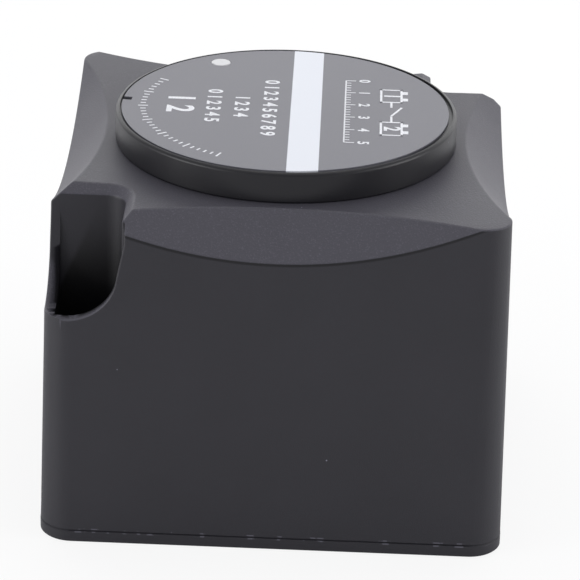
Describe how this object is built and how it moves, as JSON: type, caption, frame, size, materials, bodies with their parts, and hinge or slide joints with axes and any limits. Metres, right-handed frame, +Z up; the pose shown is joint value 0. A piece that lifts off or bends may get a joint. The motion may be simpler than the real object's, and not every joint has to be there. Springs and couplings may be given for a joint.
{
  "type": "battery isolator relay",
  "caption": "Square moulded voltage sensing relay that joins two batteries, with a round labelled cap, corner fixing pockets and rear terminal studs.",
  "frame": {"origin": "centre of the mounting face, midway between the two fixing holes", "axes": "+Z up out of the mounting face towards the label, +Y towards the side with the terminal studs, +X across; the plunger moves along Z"},
  "size_m": [0.068, 0.0841, 0.0561],
  "materials": {
    "housing_plastic": "spark eroded texture",
    "base_plastic": "satin",
    "cap_plastic": "satin",
    "label_film": "printed polyester film",
    "clear_plastic": "translucent",
    "seal_rubber": "moulded",
    "screw_steel": "zinc plated",
    "bush_steel": "turned",
    "washer_steel": "stainless",
    "pin_steel": "tinned",
    "magnet_steel": "zinc plated",
    "spring_steel": "drawn",
    "brass": "turned",
    "copper": "rolled copper",
    "contact_silver": "silver alloy",
    "enamelled_copper": "enamelled wire",
    "bobbin_plastic": "glass filled nylon",
    "board_laminate": "solder mask",
    "chip_plastic": "moulded",
    "can_aluminium": "drawn can",
    "resistor_ceramic": "glazed",
    "lamp_plastic": "diffused"
  },
  "bodies": {
    "case": {"housing": "housing_plastic", "base_plate": "base_plastic", "base_seal": "seal_rubber", "base_screws": "screw_steel", "fixing_bushes": "bush_steel", "top_cap": "cap_plastic", "cap_seal": "seal_rubber", "label_disc": "label_film", "lamp_lens": "clear_plastic", "circuit_board": "board_laminate", "control_chips": "chip_plastic", "capacitors": "can_aluminium", "board_resistors": "resistor_ceramic", "status_lamp": "lamp_plastic", "sense_pins": "brass", "coil_pins": "pin_steel", "magnet_frame": "magnet_steel", "pole_plate": "magnet_steel", "pole_core": "magnet_steel", "coil_bobbin": "bobbin_plastic", "coil_winding": "enamelled_copper", "return_spring": "spring_steel", "fixed_tips": "contact_silver", "bus_bars": "copper", "bar_screws": "screw_steel", "contact_carrier": "bobbin_plastic", "terminal_studs": "brass", "stud_seals": "seal_rubber", "terminal_washers": "washer_steel", "spring_washers": "washer_steel", "terminal_nuts": "brass", "lead_gland": "seal_rubber"},
    "plunger_unit": {"plunger": "magnet_steel", "push_rod": "brass", "rod_clip": "spring_steel", "contact_spring": "spring_steel"},
    "bridge_unit": {"contact_bridge": "copper", "bridge_tips": "contact_silver"}
  },
  "joints": [
    {"name": "plunger_slide", "type": "slide", "parent": "case", "child": "plunger_unit", "axis": [0, 0, 1], "range_m": [0, 0.0024], "stiffness_N_per_m": 800, "springref_m": -0.003, "deforming": ["return_spring"]},
    {"name": "bridge_slide", "type": "slide", "parent": "plunger_unit", "child": "bridge_unit", "axis": [0, 0, 1], "range_m": [-0.0008, 0], "deforming": ["contact_spring"]}
  ],
  "couplings": [
    {"joint": "bridge_slide", "follows": "plunger_slide", "ratio": -0.33333}
  ]
}
